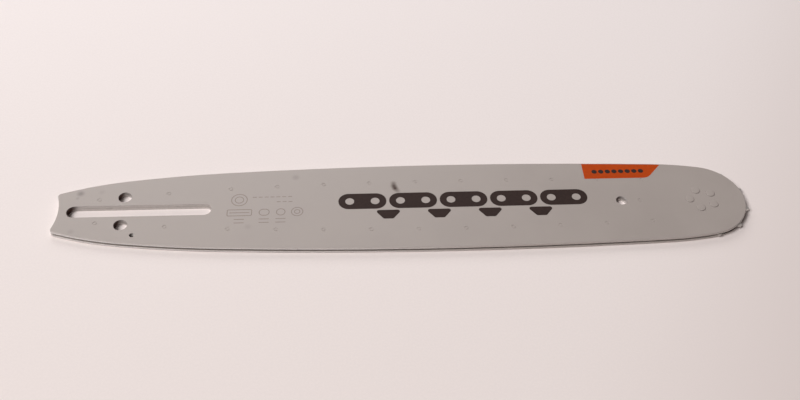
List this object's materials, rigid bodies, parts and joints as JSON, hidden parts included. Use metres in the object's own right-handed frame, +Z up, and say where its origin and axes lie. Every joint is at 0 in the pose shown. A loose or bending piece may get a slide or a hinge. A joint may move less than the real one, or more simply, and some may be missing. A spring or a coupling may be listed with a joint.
{
  "type": "chainsaw guide bar",
  "caption": "Flat laminated steel bar that guides a saw chain in its edge groove, with a stud slot and adjuster holes at the tail and a free-turning sprocket in the nose.",
  "frame": {"origin": "on the lower face, on the bar's centre line, level with the two chain adjuster holes", "axes": "+X along the bar to the nose, +Y across it, +Z up through its thickness"},
  "size_m": [0.3897, 0.0632, 0.0041],
  "materials": {
    "plate_paint": "satin grey paint",
    "rivet_paint": "satin grey paint",
    "core_steel": "dull rolled steel",
    "sprocket_steel": "hardened, lightly oiled",
    "bearing_steel": "ground"
  },
  "bodies": {
    "bar": {"side_plate_upper": "plate_paint", "side_plate_lower": "plate_paint", "core_plate": "core_steel", "bearing_hub": "bearing_steel", "nose_rivets": "rivet_paint"},
    "sprocket": {"nose_sprocket": "sprocket_steel"},
    "rollers": {"roller_01": "bearing_steel", "roller_02": "bearing_steel", "roller_03": "bearing_steel", "roller_04": "bearing_steel", "roller_05": "bearing_steel", "roller_06": "bearing_steel", "roller_07": "bearing_steel", "roller_08": "bearing_steel", "roller_09": "bearing_steel", "roller_10": "bearing_steel", "roller_11": "bearing_steel", "roller_12": "bearing_steel", "roller_13": "bearing_steel", "roller_14": "bearing_steel", "roller_15": "bearing_steel", "roller_16": "bearing_steel", "roller_17": "bearing_steel", "roller_18": "bearing_steel", "roller_19": "bearing_steel", "roller_20": "bearing_steel", "roller_21": "bearing_steel", "roller_22": "bearing_steel", "roller_23": "bearing_steel", "roller_24": "bearing_steel"}
  },
  "joints": [
    {"name": "sprocket_spin", "type": "hinge", "parent": "bar", "child": "sprocket", "pos_m": [0.3263, 0, 0.00195], "axis": [0, 0, 1], "continuous": true},
    {"name": "rollers_orbit", "type": "hinge", "parent": "bar", "child": "rollers", "pos_m": [0.3263, 0, 0.00195], "axis": [0, 0, 1], "continuous": true}
  ],
  "couplings": [
    {"joint": "rollers_orbit", "follows": "sprocket_spin", "ratio": 0.56275}
  ]
}
